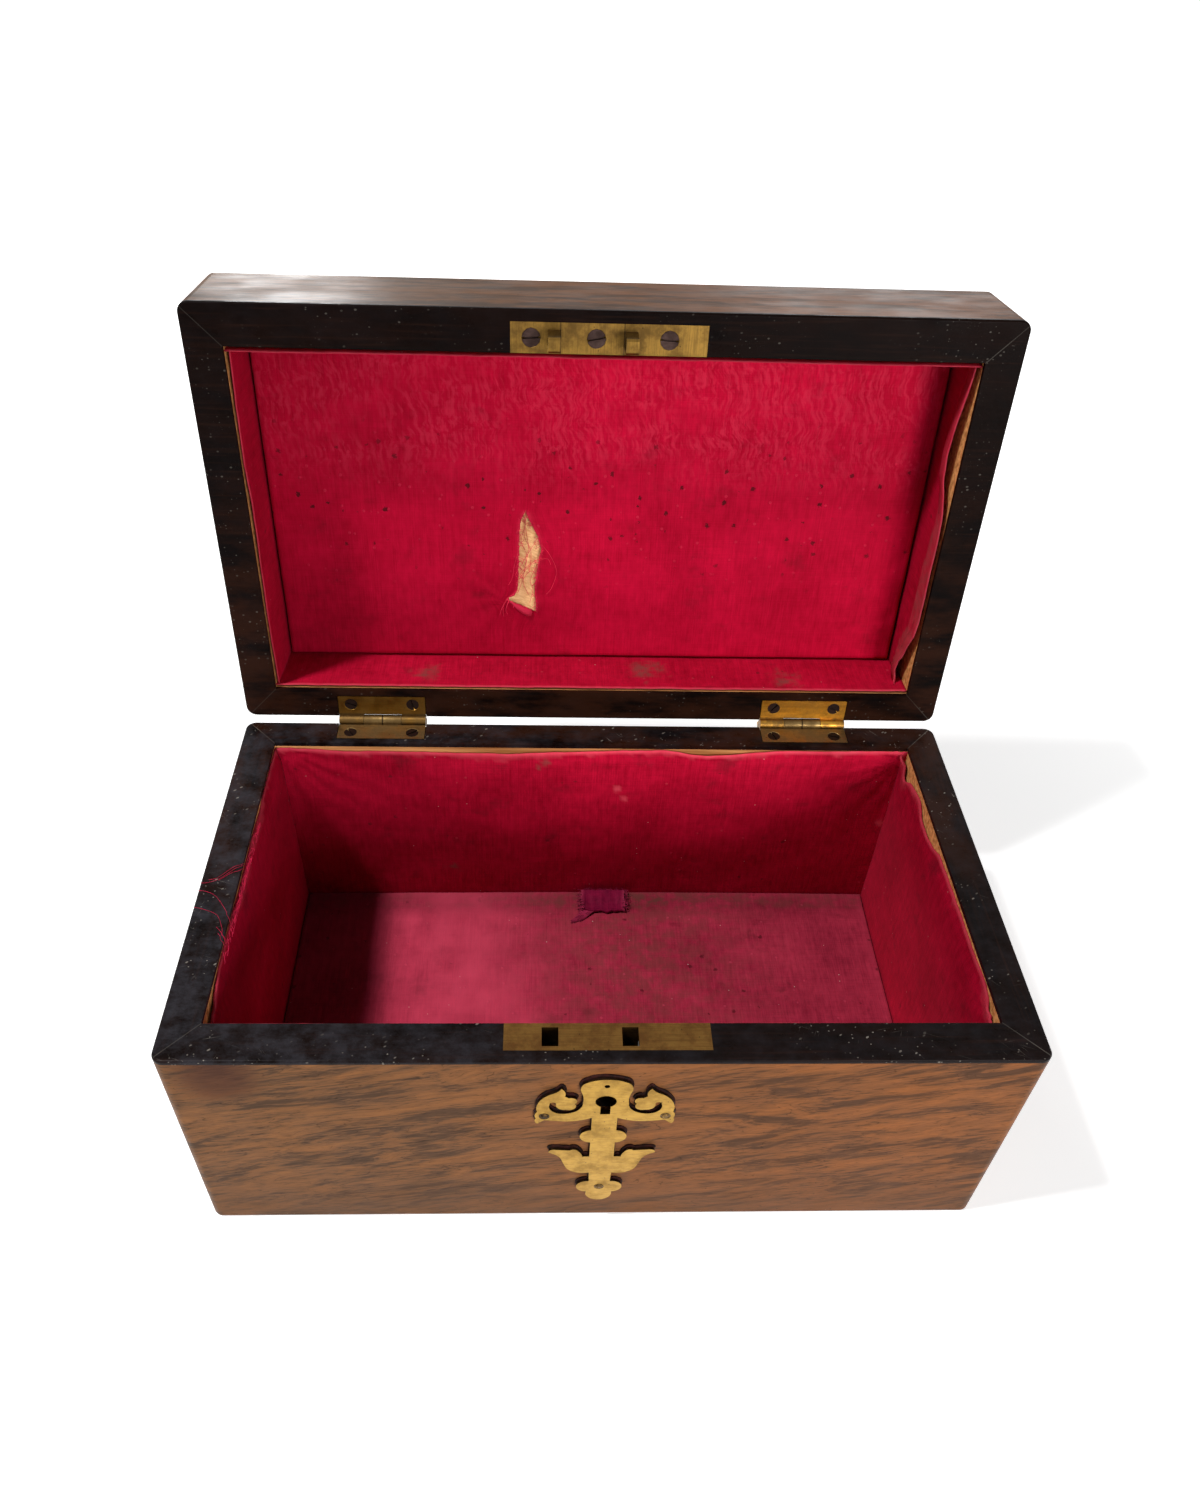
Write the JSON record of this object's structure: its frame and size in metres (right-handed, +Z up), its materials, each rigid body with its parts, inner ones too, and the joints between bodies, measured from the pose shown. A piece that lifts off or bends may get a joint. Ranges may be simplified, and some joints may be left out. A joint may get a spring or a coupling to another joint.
{
  "type": "hinged wooden box",
  "caption": "Veneered wooden box with a silk-lined inside, a hinged lid held open by stop hinges, a box lock with a hooked link plate and a pierced brass escutcheon.",
  "frame": {"origin": "middle of the underside, on the surface that the box stands on", "axes": "+X right along the front, +Y towards the hinges, +Z up"},
  "size_m": [0.25, 0.1969, 0.2328],
  "materials": {
    "walnut_veneer": "figured brown veneer, satin polish",
    "ebonised_rim": "black stained and polished, scratched",
    "carcase_wood": "plain orange-brown softwood",
    "silk_lining": "worn crimson silk over card",
    "floor_silk": "faded wine-red silk over card",
    "ribbon": "frayed dark red ribbon",
    "escutcheon_brass": "worn brass with dark edges",
    "lock_brass": "brushed, lightly tarnished brass",
    "hinge_brass": "aged brass",
    "dark_screw": "blackened slotted steel",
    "lock_steel": "plain dull steel"
  },
  "bodies": {
    "case": {"back_lining": "silk_lining", "back_rim": "ebonised_rim", "back_veneer": "walnut_veneer", "back_wall": "carcase_wood", "bottom_board": "carcase_wood", "box_hinge_screws": "dark_screw", "escutcheon": "escutcheon_brass", "escutcheon_pins": "hinge_brass", "front_lining": "silk_lining", "front_rim": "ebonised_rim", "front_veneer": "walnut_veneer", "front_wall": "carcase_wood", "left_hinge_box_leaf": "hinge_brass", "left_lining": "silk_lining", "left_rim": "ebonised_rim", "left_veneer": "walnut_veneer", "left_wall": "carcase_wood", "lock_cap": "lock_brass", "lock_drill_pin": "lock_steel", "lock_plate": "lock_brass", "lock_screws": "dark_screw", "lock_selvedge": "lock_brass", "lock_spring": "lock_steel", "right_hinge_box_leaf": "hinge_brass", "right_lining": "silk_lining", "right_rim": "ebonised_rim", "right_veneer": "walnut_veneer", "right_wall": "carcase_wood"},
    "lid": {"left_hinge_lid_leaf": "hinge_brass", "left_hinge_pin": "hinge_brass", "lid_back_lining": "silk_lining", "lid_back_rail": "carcase_wood", "lid_back_rim": "ebonised_rim", "lid_back_veneer": "walnut_veneer", "lid_ceiling_panel": "silk_lining", "lid_front_lining": "silk_lining", "lid_front_rail": "carcase_wood", "lid_front_rim": "ebonised_rim", "lid_front_veneer": "walnut_veneer", "lid_hinge_screws": "dark_screw", "lid_left_lining": "silk_lining", "lid_left_rail": "carcase_wood", "lid_left_rim": "ebonised_rim", "lid_left_veneer": "walnut_veneer", "lid_right_lining": "silk_lining", "lid_right_rail": "carcase_wood", "lid_right_rim": "ebonised_rim", "lid_right_veneer": "walnut_veneer", "lid_top_board": "carcase_wood", "lid_top_veneer": "walnut_veneer", "link_hooks": "lock_brass", "link_plate": "lock_brass", "link_plate_screws": "dark_screw", "right_hinge_lid_leaf": "hinge_brass", "right_hinge_pin": "hinge_brass"},
    "bolt": {"lock_bolt": "lock_steel"},
    "floor": {"floor_panel": "floor_silk", "pull_tab": "ribbon"}
  },
  "joints": [
    {"name": "lid_hinge", "type": "hinge", "parent": "case", "child": "lid", "pos_m": [0, 0.07211, 0.09115], "axis": [-1, 0, 0], "range_deg": [-97, 0]},
    {"name": "lock_bolt_slide", "type": "slide", "parent": "case", "child": "bolt", "axis": [-1, 0, 0], "range_m": [0, 0.005]},
    {"name": "floor_panel_lift", "type": "slide", "parent": "case", "child": "floor", "axis": [0, 0, 1], "range_m": [0, 0.07]}
  ]
}
